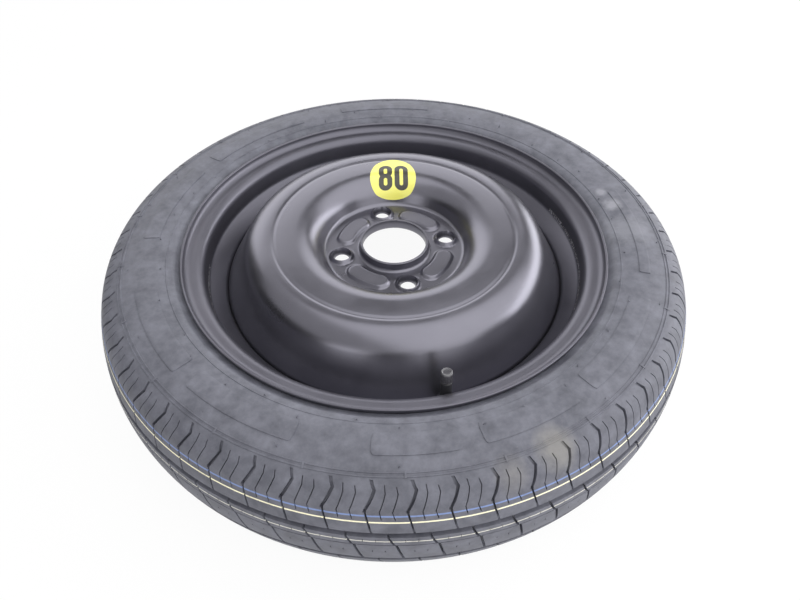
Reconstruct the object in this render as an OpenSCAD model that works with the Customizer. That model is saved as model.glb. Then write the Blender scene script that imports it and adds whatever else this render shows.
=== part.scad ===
// Space saver spare wheel, lying flat with the street side up.
// The origin is the centre of the hub bore, in the plane that bolts to the hub.

/* [Tyre] */
// Outer diameter of the tyre
tyre_d = 581; // [560:1:600]
// Largest width across the sidewalls
section_w = 128; // [120:1:136]
// Radius of the crown, across the tread
crown_r = 118; // [100:1:140]
// Distance from each side of the section in to where the tread's shoulder starts to round
tread_inset = 19; // [17:0.5:22]
// Radius of the shoulder rounding
shoulder_r = 26; // [22:1:28]
// Rubber thickness under the tread
crown_t = 10; // [9:0.5:12]
// Rubber thickness of the sidewall
sidewall_t = 5.5; // [4.5:0.5:7]
// Where the sidewall is widest, from the rim's lip at 0 to the ring at 1
bulge_place = 0.54; // [0.45:0.01:0.6]
// Depth of the tread grooves
tread_depth = 4; // [2.5:0.1:5]
// Width of the two circumferential grooves
main_groove_w = 5.5; // [4:0.1:7]
// Distance of each circumferential groove from the tread's middle
main_groove_z = 21; // [18:0.1:23]
// Number of repeats of the tread pattern around the tyre
tread_repeats = 57; // [40:1:64]
// Width of the cross grooves on the shoulders
cross_groove_w = 2.8; // [2:0.1:4]
// Width of the narrow slots that run on to the circumferential grooves
slot_w = 1.7; // [1.2:0.1:2.5]
// Width of the bead on its seat
bead_w = 19; // [16:0.5:20]
// Width of the flat ring that the tyre rests on
rest_flat_w = 12; // [8:1:16]

/* [Rim] */
// Diameter of the bead seats at the flanges
seat_d = 380.2; // [376:0.1:384]
// How far each sidewall stands out beyond the rim's flange
side_bulge = 13.2; // [11:0.1:15]
// Sheet thickness of the rim
rim_t = 2.6; // [2:0.1:3]
// Height of the flanges over the bead seats
flange_h = 17.5; // [16:0.1:18.5]
// Radius of the flange's curl, on the tyre's side
curl_r = 9.5; // [9:0.1:11]
// Radius between bead seat and flange, on the tyre's side
heel_r = 6.5; // [5:0.1:7]
// Taper of the bead seats, in degrees
seat_taper = 5; // [4:0.5:6]
// Depth of the well under the bead seats, down to its inner face
well_depth = 19.8; // [19:0.1:21]
// Width of each side of the rim from its flange to the well's floor
ledge_w = 33; // [32:0.1:34.5]
// Angle of the well's side walls from the wheel's plane, in degrees
well_wall_angle = 41.6; // [40:0.1:43]
// Radius of the bends beside the well, on their inner side
well_bend_r = 5; // [4:0.1:6]

/* [Disc] */
// Distance from the hub face to the rim's middle
wheel_offset = 39.5; // [36:0.1:42]
// Sheet thickness of the disc
disc_t = 4; // [3:0.1:4.4]
// Height of the crest over the hub face
crest_h = 28.8; // [27:0.1:31]
// Radius of the circle at which the crest starts to round down to the hub plate
crest_in_r = 90.2; // [88:0.1:92]
// Radius of the rounding on the crest's inner side
crest_round = 17; // [15:0.1:18]
// Slope of the wall around the hub plate from upright, in degrees
dish_wall_angle = 17; // [14:1:20]
// Radius between the hub plate and its wall
dish_fillet = 5; // [4:0.1:6]
// Distance of the circular crease from the crest's outer edge
crease_inset = 5.2; // [3:0.1:10]
// Depth of the crease
crease_depth = 0.35; // [0.2:0.05:0.5]
// Where the crest starts to round down to the rim, from its inner edge at 0 to the skirt at 1
crest_place = 0.4225; // [0.4:0.0005:0.45]
// Radius of the rounding on the crest's outer side
dome_round = 29; // [27:0.1:31]
// Slope of the cone outside the crest, in degrees from the wheel's plane
cone_angle = 60; // [59:0.5:62]
// Radius between the cone and the skirt
skirt_bend = 12; // [10:0.5:13]
// Length of the straight skirt
skirt_l = 22; // [18:0.5:24]
// Gap between the skirt and the well
skirt_gap = 0.1; // [0.05:0.01:0.2]
// Diameter of the hub bore
hub_bore_d = 63.4; // [62:0.1:65]
// Wall of the collar around the hub bore
collar_t = 2.5; // [2:0.1:3]
// Height of the collar over the hub face
collar_h = 13.2; // [11:0.1:15]
// Radius at the foot of the collar
collar_fillet = 3.5; // [2.5:0.1:4]
// Diameter of the circle that the nut holes lie on
pitch_circle_d = 108; // [107:0.1:110]
// Number of nut holes and of raised pads
nut_holes = 4; // [4:1:5]
// Diameter of the nut holes
nut_hole_d = 14.6; // [13:0.1:15]
// Diameter of the nut seats at their top
nut_seat_d = 19.4; // [18:0.1:20.5]
// Included angle of the nut seats, in degrees
nut_seat_angle = 60; // [60:5:90]
// Diameter of each raised boss at its foot
nut_boss_d = 26; // [25:0.1:27]
// Height of each raised boss over the plate
nut_boss_h = 3.8; // [3:0.1:4.2]
// Mean radius of the raised pads
pad_r = 51; // [50:0.1:52]
// Width of the raised pads at their foot
pad_w = 21; // [18:0.1:22]
// Height of the raised pads over the plate
pad_h = 2.8; // [2:0.1:3.2]
// Angle that each raised pad covers, round ends included
pad_span = 54; // [48:1:58]
// Inset of the slopes around pads and bosses
slope_inset = 2.4; // [1.5:0.1:2.8]

/* [Label] */
// Width of the oval label
label_w = 50; // [44:1:52]
// Length of the oval label along the surface
label_l = 57.6; // [54:0.2:60]
// Thickness of the label
label_t = 0.25; // [0.15:0.05:0.4]
// Place of the label around the wheel, in degrees
label_azimuth = 77; // [60:1:80]

/* [Valve] */
// Distance of the valve's seat outwards from the well's inner face
valve_out = 8.9; // [8.7:0.1:9.3]
// Lean of the valve towards the wheel's axis, in degrees
valve_lean = 4; // [3:0.5:5]
// Height of the valve's pressed seat over the well's side wall
valve_seat_rise = 3.3; // [3.1:0.1:3.7]
// Diameter of the valve hole
valve_hole_d = 11.5; // [11:0.1:12]
// Diameter of the rubber foot on both sides of the rim
valve_foot_d = 13.8; // [13:0.1:14]
// Length of the valve from its seat to the tip of the stem
valve_l = 31.8; // [30:0.1:34]
// Diameter of the rubber just under the cap
rubber_d = 9.7; // [9:0.1:10.2]
// Length of the brass that stands out of the rubber
brass_free_l = 8.6; // [8:0.1:10]
// Outer diameter of the stem's thread
stem_d = 7.8; // [7.6:0.1:8]
// Diameter of the stem inside the rubber
stem_root_d = 7.2; // [7:0.1:7.4]
// Diameter of the core's chamber
chamber_d = 5.4; // [5.2:0.1:5.6]
// Diameter of the passage around the pin's seal
passage_d = 4; // [3.8:0.1:4.2]
// Outer diameter of the cap
cap_d = 10.2; // [10:0.1:10.8]
// Height of the cap
cap_h = 10.3; // [9.5:0.1:10.8]
// Number of grip grooves around the cap
cap_grips = 24; // [16:1:32]
// Clearance between the cap and the stem's thread
cap_gap = 0.15; // [0.1:0.01:0.2]
// Travel of the valve pin
pin_travel = 1.2; // [1:0.1:1.5]
// Diameter of the valve pin
pin_d = 1.1; // [1:0.05:1.2]
// Wire of the core's spring
spring_wire = 0.28; // [0.2:0.02:0.3]
// Turns of the core's spring
spring_turns = 9; // [6:1:12]

/* [Fits] */
// Gap between the tyre and the rim
bead_gap = 0.2; // [0.15:0.05:0.3]
// Small assembly clearance of the valve's pieces
fit_gap = 0.06; // [0.05:0.01:0.1]

/* [Hidden] */
$fn = 96;
// Reach of a cut past the face that it opens
over = 1;
// Segments of a rounded corner
bend_steps = 6;

// Outlines are lists of [radius, height]; heights of tyre and rim count from the rim's middle.
function rev(list) = [for (i = [len(list) - 1:-1:0]) list[i]];
function unit(v) = v / norm(v);
function polar(c, r, a) = c + r * [cos(a), sin(a)];
function arc(c, r, a0, a1, n) = [for (i = [0:n]) polar(c, r, a0 + (a1 - a0) * i / n)];
// The same points or corners on the other side of the middle plane, in reverse order
function flip(path) = [for (p = rev(path)) [p[0], -p[1]]];
function flip_corners(path) = [for (p = rev(path)) [p[0], -p[1], p[2]]];

// The arc that rounds corner b between its neighbours a and c
function bend(a, b, c, r) =
  let (u = unit(a - b), w = unit(c - b), half = acos(u * w) / 2)
  let (m = b + unit(u + w) * r / sin(half))
  let (s = b + u * r / tan(half) - m, e = b + w * r / tan(half) - m)
  let (a0 = atan2(s[1], s[0]), turn = (atan2(e[1], e[0]) - a0 + 540) % 360 - 180)
  arc(m, r, a0, a0 + turn, bend_steps);

// A closed outline of corners [radius, height, rounding]
function rounded(path) =
  let (n = len(path), xy = [for (p = path) [p[0], p[1]]])
  [for (i = [0:n - 1]) each path[i][2] > 0
    ? bend(xy[(i + n - 1) % n], xy[i], xy[(i + 1) % n], path[i][2])
    : [xy[i]]];

// Rim
rim_z = -wheel_offset;
flange_z = section_w / 2 - side_bulge;
well_r = seat_d / 2 - well_depth;
well_w = 2 * (flange_z - ledge_w);
lip_r = seat_d / 2 + flange_h;
lip_roll = rim_t * 0.45;
lip_z = flange_z + curl_r + lip_roll;
// Radius of the bead seat at height z, d inside its face
function seat_r(z, d) = seat_d / 2 - (flange_z - z) * tan(seat_taper) - d / cos(seat_taper);
// Height of the well's side wall at radius r, d away from its face on the axle's side
function wall_z(r, d) =
  well_w / 2 + (r - well_r) * tan(well_wall_angle) - d / cos(well_wall_angle);
// Corner where the bead seat meets the well's side wall
function ledge(seat_in, wall_in) =
  let (t = tan(seat_taper))
  let (r = (seat_r(0, seat_in) + wall_z(0, wall_in) * t) / (1 - t * tan(well_wall_angle)))
  [r, wall_z(r, wall_in)];
// One side of the sheet from the lip to the well; d is 0 on the tyre's side
function rim_side(d) =
  let (corner = ledge(d, rim_t - d), floor_r = well_r + rim_t - d)
  [[lip_r - d, lip_z, lip_roll],
    [lip_r - d, flange_z + d, curl_r - d],
    [seat_r(flange_z + d, d), flange_z + d, heel_r + d],
    [corner[0], corner[1], well_bend_r + rim_t - d],
    [floor_r, wall_z(floor_r, rim_t - d), well_bend_r + d]];
rim_corners = concat(rim_side(rim_t), flip_corners(rim_side(rim_t)),
  rev(concat(rim_side(0), flip_corners(rim_side(0)))));

// Tyre
tyre_r = tyre_d / 2;
crown_c = [tyre_r - crown_r, 0];
shoulder_a = asin((section_w / 2 - tread_inset) / crown_r);
shoulder_c = polar(crown_c, crown_r - shoulder_r, shoulder_a);
// The shoulder rounding ends at the ring around the sidewall
ring_a = 76;
ring_p = polar(shoulder_c, shoulder_r, ring_a);
shoulder_steps = 6;
crown_steps = 10;
shoulder_step = (ring_a - shoulder_a) / shoulder_steps;
// The sidewall is an arc through the ring and the widest point
bulge_r = lip_r + bulge_place * (ring_p[0] - lip_r);
bulge_rise = section_w / 2 - ring_p[1];
side_arc_r = (pow(ring_p[0] - bulge_r, 2) + pow(bulge_rise, 2)) / 2 / bulge_rise;
side_c = [bulge_r, section_w / 2 - side_arc_r];
side_a = atan2(ring_p[1] - side_c[1], ring_p[0] - side_c[0]);
side_end_a = 90 + asin((bulge_r - lip_r) / 2 / side_arc_r);
toe_z = flange_z - bead_w;
toe_r = seat_r(toe_z, 0) + bead_gap;
heel_p = [seat_r(flange_z, 0) + bead_gap, flange_z - bead_gap];
curl_c = [lip_r - curl_r, flange_z + curl_r];
lip_seam = 3;
inner_r = crown_r - crown_t;
inner_a = 24;
// From the shoulder down the outside, around the bead and up the inside
tyre_side = concat(
  arc(shoulder_c, shoulder_r, shoulder_a + shoulder_step, ring_a - shoulder_step,
    shoulder_steps - 2),
  arc(side_c, side_arc_r, side_a, side_end_a, 6),
  [[lip_r + lip_seam, curl_c[1] + 1]],
  arc(curl_c, curl_r + bead_gap, 0, -90, 6),
  bend([curl_c[0], heel_p[1]], heel_p, [toe_r, toe_z], heel_r),
  [[toe_r, toe_z], [toe_r + 5, toe_z - 1.5], [lip_r - 6, toe_z + 5.5],
    [lip_r + 4, toe_z + 16]],
  arc(side_c, side_arc_r - sidewall_t, side_end_a, 80, 4));
tyre_outline = concat(arc(crown_c, crown_r, -shoulder_a, shoulder_a, crown_steps), tyre_side,
  arc(crown_c, inner_r, inner_a, -inner_a, 8), flip(tyre_side));
rest_z = side_c[1] + sqrt(pow(side_arc_r, 2) - pow(rest_flat_w / 2, 2));

// The grooves fade towards the ring; their floor lies this deep there
fade_depth = 1.5;
layer_steps = 3;
function layer_side(h0, h1) = [for (i = [1:layer_steps])
  polar(shoulder_c, shoulder_r + h0 + (h1 - h0) * i / layer_steps,
    shoulder_a + (ring_a - shoulder_a) * i / layer_steps)];
function layer_line(h0, h1) = concat(flip(layer_side(h0, h1)),
  arc(crown_c, crown_r + h0, -shoulder_a, shoulder_a, 2 * layer_steps), layer_side(h0, h1));
// Points on the tread's surface where a shoulder groove starts, bends, narrows and ends
groove_path = [polar(shoulder_c, shoulder_r, ring_a - 4), polar(shoulder_c, shoulder_r, 57),
  polar(crown_c, crown_r, shoulder_a), polar(crown_c, crown_r, asin(main_groove_z / crown_r))];
// Sideways places of the same points, along the circumference
groove_x = [0, 2.3, -4.7, 1.2];
// The shoulder grooves are cut along a line that leans by cut_a from upright
cut_a = 45;
function across(p) = p[0] * cos(cut_a) - p[1] * sin(cut_a);
// The centre grooves run aslant from one circumferential groove to the other, with a jog
centre_z = [main_groove_z, 8.4, 7.2, -main_groove_z];
centre_x = [11.8, 17.1, 19.1, 25.4];
centre_groove_w = 2.2;
// Sideways place of the point about which the tread pattern repeats turned over
turn_x = (centre_x[0] + centre_x[3]) / 2;
function azimuth(x) = x / tyre_r * 180 / PI;

// Disc
hub_r = hub_bore_d / 2;
skirt_r = well_r - skirt_gap;
crest_out_r = crest_in_r + crest_place * (skirt_r - crest_in_r);
crease_r = crest_out_r - crease_inset;
crest_in_c = [crest_in_r, crest_h - crest_round];
crest_out_c = [crest_out_r, crest_h - dome_round];
wall_a = 180 - dish_wall_angle;
cone_a = 90 - cone_angle;
// Corners of the sheet, d under its street side
function wall_top(d) = polar(crest_in_c, crest_round - d, wall_a);
function wall_foot(d) =
  [wall_top(d)[0] - (wall_top(d)[1] - disc_t + d) * tan(dish_wall_angle), disc_t - d];
function cone_top(d) = polar(crest_out_c, dome_round - d, cone_a);
function skirt_corner(d) =
  [skirt_r - d, cone_top(d)[1] - (skirt_r - d - cone_top(d)[0]) * tan(cone_angle)];
skirt_end = skirt_corner(0)[1] - skirt_bend * tan(cone_a / 2) - skirt_l;
crest_steps = 12;
collar_r = hub_r + collar_t;
collar_edge = 0.8;
// From the hub plate to the skirt, d under the street side
function disc_line(d) = concat(
  bend([hub_r, disc_t - d], wall_foot(d), wall_top(d), dish_fillet + d),
  arc(crest_in_c, crest_round - d, wall_a, 90, crest_steps),
  d > 0 ? [] : [[crease_r - 2 * crease_depth, crest_h], [crease_r, crest_h - crease_depth],
    [crease_r + 2 * crease_depth, crest_h]],
  arc(crest_out_c, dome_round - d, 90, cone_a, crest_steps),
  bend(cone_top(d), skirt_corner(d), [skirt_r - d, skirt_end], skirt_bend - d));
disc_outline = concat(
  [[hub_r, 0], [hub_r, collar_h], [collar_r - collar_edge, collar_h],
    [collar_r, collar_h - collar_edge]],
  bend([collar_r, collar_h], [collar_r, disc_t], wall_foot(0), collar_fillet),
  disc_line(0), [[skirt_r, skirt_end], [skirt_r - disc_t, skirt_end]], rev(disc_line(disc_t)));
plate_r = pitch_circle_d / 2;
nut_seat_depth = (nut_seat_d - nut_hole_d) / 2 / tan(nut_seat_angle / 2);
pad_end_a = pad_w / 2 / pad_r * 180 / PI;
weld_count = 6;
weld_span = 28;
weld_leg = 3;

// Label
stick_gap = 0.03;
// Middle of the label, measured inwards along the surface from the start of the rounding
label_s = 1.2;
crest_len = crest_round * (wall_a - 90) * PI / 180;
// Point of the disc's surface at distance s along it, lifted by h
function crest_point(s, h) =
  s <= 0 ? [crest_in_r - s, crest_h + h]
  : s < crest_len ? polar(crest_in_c, crest_round + h, 90 + s / crest_round * 180 / PI)
  : polar(crest_in_c, crest_round + h, wall_a)
    - (s - crest_len) * [sin(dish_wall_angle), cos(dish_wall_angle)];
label_path = [for (i = [-18:18]) label_s + i / 18 * (label_l / 2 + over)];
label_band = concat([for (s = label_path) crest_point(s, stick_gap)],
  rev([for (s = label_path) crest_point(s, stick_gap + label_t)]));
// The oval's edge as it looks along a line that leans by label_lean towards the axis
label_lean = 40;
function label_edge(a) =
  let (p = crest_point(label_s + label_l / 2 * cos(a), stick_gap))
  let (turn = label_w / 2 * sin(a) / p[0] * 180 / PI)
  [p[0] * cos(turn) * cos(label_lean) + p[1] * sin(label_lean), p[0] * sin(turn)];

// Valve, in its own frame: its seat on the rim is at height 0
valve_r = well_r + valve_out;
valve_seat_h = wall_z(valve_r, 0) + valve_seat_rise;
foot_r = valve_foot_d / 2;
foot_gap = 0.15;
boss_r = foot_r + 2;
bulb_l = 10;
foot_h = 2.4;
rubber_top = valve_l - brass_free_l;
thread_r = stem_d / 2;
stem_r = stem_root_d / 2;
stem_foot = -6;
chamber_r = chamber_d / 2;
passage_r = passage_d / 2;
chamber_z = 22;
cone_z = 20.5;
passage_z = 8;
bore_r = 1.4;
gasket_t = 1.1;
cap_bore_top = valve_l + gasket_t + 2 * fit_gap;
cap_top = cap_bore_top + 1.5;
cap_foot = cap_top - cap_h;
cap_r = cap_d / 2;
grip_r = 0.35;
// Core, from the plug down to the pin's foot
plug_top = valve_l - 0.4;
plug_foot = plug_top - 4.2;
plug_slot_w = 1.5;
barrel_top = plug_foot - fit_gap;
barrel_foot = 14.5;
barrel_r = passage_r - 0.12;
barrel_head_r = chamber_r - 0.12;
barrel_head_foot = chamber_z + 0.8;
spring_room_r = 1.36;
spring_floor = barrel_foot + 1.6;
spring_roof = barrel_top - 1;
pin_r = pin_d / 2;
pin_hole_r = pin_r + 0.3;
pin_head_r = pin_hole_r - 0.1;
pin_top = valve_l - 0.7;
shoulder_t = 0.6;
seal_t = 1.6;
cup_t = 0.7;
seal_top = barrel_foot - fit_gap;
cup_top = seal_top - seal_t - fit_gap;
seal_r = passage_r - 0.2;
shoulder_top = spring_roof - fit_gap;
spring_r = (spring_room_r + pin_r) / 2;
spring_z0 = spring_floor + spring_wire / 2 + fit_gap;
spring_z1 = shoulder_top - shoulder_t - spring_wire / 2 - fit_gap;
wire_sides = 6;
turn_steps = 16;

module at_rim() { translate([0, 0, rim_z]) children(); }
module at_valve() {
  translate([0, -valve_r, rim_z + valve_seat_h]) rotate([-valve_lean, 0, 0]) children();
}
module turned(points) { rotate_extrude() polygon(points); }
module pipe(r, bore, z0, z1) {
  turned([[bore, z0], [r, z0], [r, z1], [bore, z1]]);
}

// The layer of rubber that the cross grooves are cut into
module tread_layer() {
  turned(concat(layer_line(over, over), rev(layer_line(-tread_depth, -fade_depth))));
}

// One shoulder groove with its narrow slot, cut along a leaning line
module shoulder_groove() {
  w = [cross_groove_w, cross_groove_w, cross_groove_w, slot_w] / 2;
  low = [for (i = [0:3]) [across(groove_path[i]), groove_x[i] - w[i]]];
  high = [for (i = [0:3]) [across(groove_path[i]), groove_x[i] + w[i]]];
  step_low = [across(groove_path[2]), groove_x[2] - slot_w / 2];
  step_high = [across(groove_path[2]), groove_x[2] + slot_w / 2];
  rotate([0, cut_a, 0]) translate([0, 0, tyre_r * 0.7]) linear_extrude(tyre_r / 2)
    polygon([low[0], low[1], low[2], step_low, low[3], high[3], step_high, high[2],
      high[1], high[0]]);
}

// One slanted groove across the centre rib
module centre_groove() {
  w = centre_groove_w / 2;
  rotate([0, 90, 0]) translate([0, 0, tyre_r - 2 * tread_depth]) linear_extrude(tyre_r / 2)
    polygon(concat([for (i = [0:3]) [-centre_z[i], centre_x[i] - w]],
      rev([for (i = [0:3]) [-centre_z[i], centre_x[i] + w]])));
}

module main_groove(z) {
  floor_r = crown_c[0] + sqrt(pow(crown_r, 2) - pow(z, 2)) - tread_depth;
  pipe(tyre_r + over, floor_r, z - main_groove_w / 2, z + main_groove_w / 2);
}

module tyre() {
  color("#4a4c52") at_rim() difference() {
    turned(tyre_outline);
    intersection() {
      tread_layer();
      for (i = [0:tread_repeats - 1]) rotate([0, 0, i * 360 / tread_repeats]) {
        shoulder_groove();
        centre_groove();
        rotate([0, 0, azimuth(2 * turn_x)]) rotate([180, 0, 0]) shoulder_groove();
      }
    }
    main_groove(main_groove_z);
    main_groove(-main_groove_z);
    pipe(tyre_r, lip_r + lip_seam, -section_w / 2 - over, -rest_z);
  }
}

// The flat that is pressed out of the well's side wall for the valve
module valve_boss() {
  intersection() {
    at_valve() translate([0, 0, -2 * boss_r]) cylinder(r = boss_r, h = 2 * boss_r);
    at_rim() turned([[well_r + skirt_gap, wall_z(well_r, rim_t / 2)],
      [lip_r, wall_z(lip_r, rim_t / 2)], [lip_r, lip_z], [well_r + skirt_gap, lip_z]]);
  }
}

module rim() {
  color("#8f9096") difference() {
    union() {
      at_rim() turned(rounded(rim_corners));
      valve_boss();
    }
    at_valve() {
      translate([0, 0, -2 * boss_r]) cylinder(r = foot_r + foot_gap, h = 2 * boss_r - rim_t);
      translate([0, 0, -rim_t - over]) cylinder(d = valve_hole_d, h = rim_t + 2 * over);
      cylinder(r = foot_r + 2 * foot_gap, h = foot_h * 2);
    }
  }
}

// A sloping block of height h over the plate, r at its foot; it starts inside the plate
module raised(r, h) {
  slope = slope_inset / h;
  translate([0, 0, disc_t - over])
    cylinder(r1 = r + slope * over, r2 = r - slope_inset, h = h + over);
}

// A raised pad, or the hollow pressed into the plate's back under it
module pad_shape(w, z0, h) {
  slope = slope_inset / h;
  turn = pad_span - 2 * pad_end_a;
  low = w / 2 + slope * over;
  high = w / 2 - slope_inset;
  translate([0, 0, z0 - over]) {
    rotate([0, 0, -turn / 2]) rotate_extrude(angle = turn) polygon([[pad_r - low, 0],
      [pad_r + low, 0], [pad_r + high, h + over], [pad_r - high, h + over]]);
    for (s = [-1, 1]) rotate([0, 0, s * turn / 2]) translate([pad_r, 0, 0])
      cylinder(r1 = low, r2 = high, h = h + over);
  }
}

module wheel_disc() {
  color("#8b8b92") difference() {
    union() {
      turned(disc_outline);
      for (i = [0:nut_holes - 1]) rotate([0, 0, i * 360 / nut_holes]) {
        translate([plate_r, 0, 0]) raised(nut_boss_d / 2, nut_boss_h);
        rotate([0, 0, 180 / nut_holes]) pad_shape(pad_w, disc_t, pad_h);
      }
      for (i = [0:weld_count - 1]) rotate([0, 0, (i + 0.25) * 360 / weld_count])
        rotate_extrude(angle = weld_span) polygon([[skirt_r - weld_leg, skirt_end + over],
          [skirt_r, skirt_end + over], [skirt_r, skirt_end - weld_leg],
          [skirt_r - weld_leg, skirt_end]]);
    }
    for (i = [0:nut_holes - 1]) rotate([0, 0, i * 360 / nut_holes]) {
      translate([plate_r, 0, -over]) cylinder(d = nut_hole_d, h = disc_t + nut_boss_h);
      translate([plate_r, 0, disc_t + nut_boss_h - nut_seat_depth])
        cylinder(d1 = nut_hole_d, d2 = nut_seat_d, h = nut_seat_depth);
      rotate([0, 0, 180 / nut_holes]) pad_shape(pad_w - 2 * slope_inset, 0, pad_h);
    }
  }
}

module speed_label() {
  color("#efe95c") rotate([0, 0, label_azimuth]) intersection() {
    turned(label_band);
    rotate([0, -label_lean, 0]) translate([0, 0, -crest_out_r * 0.8])
      linear_extrude(crest_out_r * 0.7) polygon([for (i = [0:47]) label_edge(i * 7.5)]);
  }
}

// The rubber hides in the hole, grips both sides of it and narrows to the cap
module valve_body() {
  bore = stem_r + fit_gap;
  neck = valve_hole_d / 2 - foot_gap;
  color("#2b2b2e") at_valve() turned([[bore, -bulb_l], [foot_r - 2.4, -bulb_l],
    [foot_r, -rim_t - 3.5], [foot_r, -rim_t - fit_gap], [neck, -rim_t - fit_gap],
    [neck, fit_gap], [foot_r, fit_gap], [foot_r, foot_h - 0.7], [foot_r - 0.7, foot_h],
    [rubber_d / 2 + 0.7, foot_h + 1.6], [rubber_d / 2, foot_h + 6],
    [rubber_d / 2, rubber_top - 0.5], [rubber_d / 2 - 0.5, rubber_top], [bore, rubber_top]]);
}

module valve_stem() {
  color("#c2a35a") at_valve() turned([[bore_r, stem_foot], [stem_r, stem_foot],
    [stem_r, rubber_top + fit_gap], [thread_r, rubber_top + fit_gap],
    [thread_r, valve_l - 0.5], [thread_r - 0.5, valve_l], [chamber_r, valve_l],
    [chamber_r, chamber_z], [passage_r, cone_z], [passage_r, passage_z],
    [bore_r, passage_z - 0.8]]);
}

module core_plug() {
  color("#c8b274") at_valve() difference() {
    pipe(chamber_r - fit_gap, pin_hole_r, plug_foot, plug_top);
    for (s = [-1, 1]) translate([s * chamber_r, 0, plug_top])
      cube([plug_slot_w, chamber_d, 4.2], center = true);
  }
}

module core_barrel() {
  color("#c8b274") at_valve() turned([[pin_hole_r, barrel_foot], [barrel_r, barrel_foot],
    [barrel_r, barrel_head_foot], [barrel_head_r, barrel_head_foot],
    [barrel_head_r, barrel_top], [pin_hole_r, barrel_top], [pin_hole_r, spring_roof],
    [spring_room_r, spring_roof], [spring_room_r, spring_floor],
    [pin_hole_r, spring_floor]]);
}

// The gasket sits around the barrel, on the cone of the stem
module core_gasket() {
  top = barrel_head_foot - fit_gap;
  color("#a03a30") at_valve() turned([[barrel_r + fit_gap, cone_z + 0.8],
    [passage_r + 0.25, cone_z + 0.8], [chamber_r - fit_gap, chamber_z + 0.1],
    [chamber_r - fit_gap, top], [barrel_r + fit_gap, top]]);
}

module valve_pin() {
  color("#d2c08a") at_valve() turned([[0, cup_top - cup_t], [seal_r, cup_top - cup_t],
    [seal_r, cup_top], [pin_r, cup_top], [pin_r, shoulder_top - shoulder_t],
    [spring_room_r - 0.15, shoulder_top - shoulder_t], [spring_room_r - 0.15, shoulder_top],
    [pin_r, shoulder_top], [pin_r, pin_top - 1], [pin_head_r, pin_top - 0.8],
    [pin_head_r, pin_top], [0, pin_top]]);
}

module pin_seal() {
  color("#2a2a2a") at_valve() pipe(seal_r, pin_r + fit_gap / 2, seal_top - seal_t, seal_top);
}

// A round wire wound along the pin
module core_spring() {
  n = spring_turns * turn_steps;
  color("#b9bcc0") at_valve() polyhedron(
    points = [for (i = [0:n], j = [0:wire_sides - 1])
      let (a = i * 360 / turn_steps, b = j * 360 / wire_sides)
      let (r = spring_r + spring_wire / 2 * cos(b))
      [r * cos(a), r * sin(a),
        spring_z0 + (spring_z1 - spring_z0) * i / n + spring_wire / 2 * sin(b)]],
    faces = concat(
      [[for (j = [0:wire_sides - 1]) j]],
      [[for (j = [wire_sides - 1:-1:0]) n * wire_sides + j]],
      [for (i = [0:n - 1], j = [0:wire_sides - 1])
        let (k = (j + 1) % wire_sides)
        [i * wire_sides + j, (i + 1) * wire_sides + j, (i + 1) * wire_sides + k,
          i * wire_sides + k]]));
}

module valve_cap() {
  color("#27272a") at_valve() difference() {
    turned([[thread_r + cap_gap, cap_foot], [cap_r, cap_foot], [cap_r, cap_top - 1.2],
      [cap_r - 0.3, cap_top - 0.4], [cap_r - 0.9, cap_top], [0, cap_top],
      [0, cap_bore_top], [thread_r + cap_gap, cap_bore_top]]);
    for (i = [0:cap_grips - 1]) rotate([0, 0, i * 360 / cap_grips])
      translate([cap_r, 0, cap_foot - over]) cylinder(r = grip_r, h = cap_h * 0.75, $fn = 16);
  }
}

module cap_gasket() {
  color("#1f1f20") at_valve()
    pipe(thread_r, chamber_r + 0.1, valve_l + fit_gap, cap_bore_top - fit_gap);
}

tyre();
rim();
wheel_disc();
speed_label();
valve_body();
valve_stem();
core_plug();
core_barrel();
core_gasket();
valve_pin();
pin_seal();
core_spring();
valve_cap();
cap_gasket();
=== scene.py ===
"""Space saver spare wheel, lying flat with its street side up. Sizes are in millimetres."""
import math
import random

import bmesh
import bpy
from mathutils import Matrix, Vector


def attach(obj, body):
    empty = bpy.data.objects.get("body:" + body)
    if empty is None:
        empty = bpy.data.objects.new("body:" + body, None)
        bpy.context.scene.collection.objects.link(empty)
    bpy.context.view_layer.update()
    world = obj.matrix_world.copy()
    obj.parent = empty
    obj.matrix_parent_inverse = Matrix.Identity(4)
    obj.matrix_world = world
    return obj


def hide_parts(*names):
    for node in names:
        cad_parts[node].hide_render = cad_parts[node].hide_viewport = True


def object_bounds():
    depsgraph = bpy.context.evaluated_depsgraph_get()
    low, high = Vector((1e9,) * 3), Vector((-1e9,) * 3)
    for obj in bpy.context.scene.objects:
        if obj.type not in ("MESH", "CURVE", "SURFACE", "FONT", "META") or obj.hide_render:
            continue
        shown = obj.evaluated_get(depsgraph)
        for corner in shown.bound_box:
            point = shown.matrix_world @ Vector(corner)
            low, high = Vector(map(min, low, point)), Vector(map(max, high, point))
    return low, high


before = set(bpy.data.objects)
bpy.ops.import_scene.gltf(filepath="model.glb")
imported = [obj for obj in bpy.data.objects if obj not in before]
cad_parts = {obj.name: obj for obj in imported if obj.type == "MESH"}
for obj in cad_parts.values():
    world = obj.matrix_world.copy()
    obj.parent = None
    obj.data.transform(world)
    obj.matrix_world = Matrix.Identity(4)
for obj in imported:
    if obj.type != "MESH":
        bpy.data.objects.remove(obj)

cad_low, cad_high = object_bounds()
MM = 0.001
# Corners closer than this, in metres, are one corner
MERGE = 0.00002
luck = random.Random(80)

# Camera: where the photographer stood, and the frame's right and up
EYE = Vector((-115.07, -471.80, 438.78))
EYE_RIGHT = Vector((0.96917, -0.24639, 0.00226))
EYE_UP = Vector((0.17721, 0.70334, 0.68842))
EYE_LENS = 28.88

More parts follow.
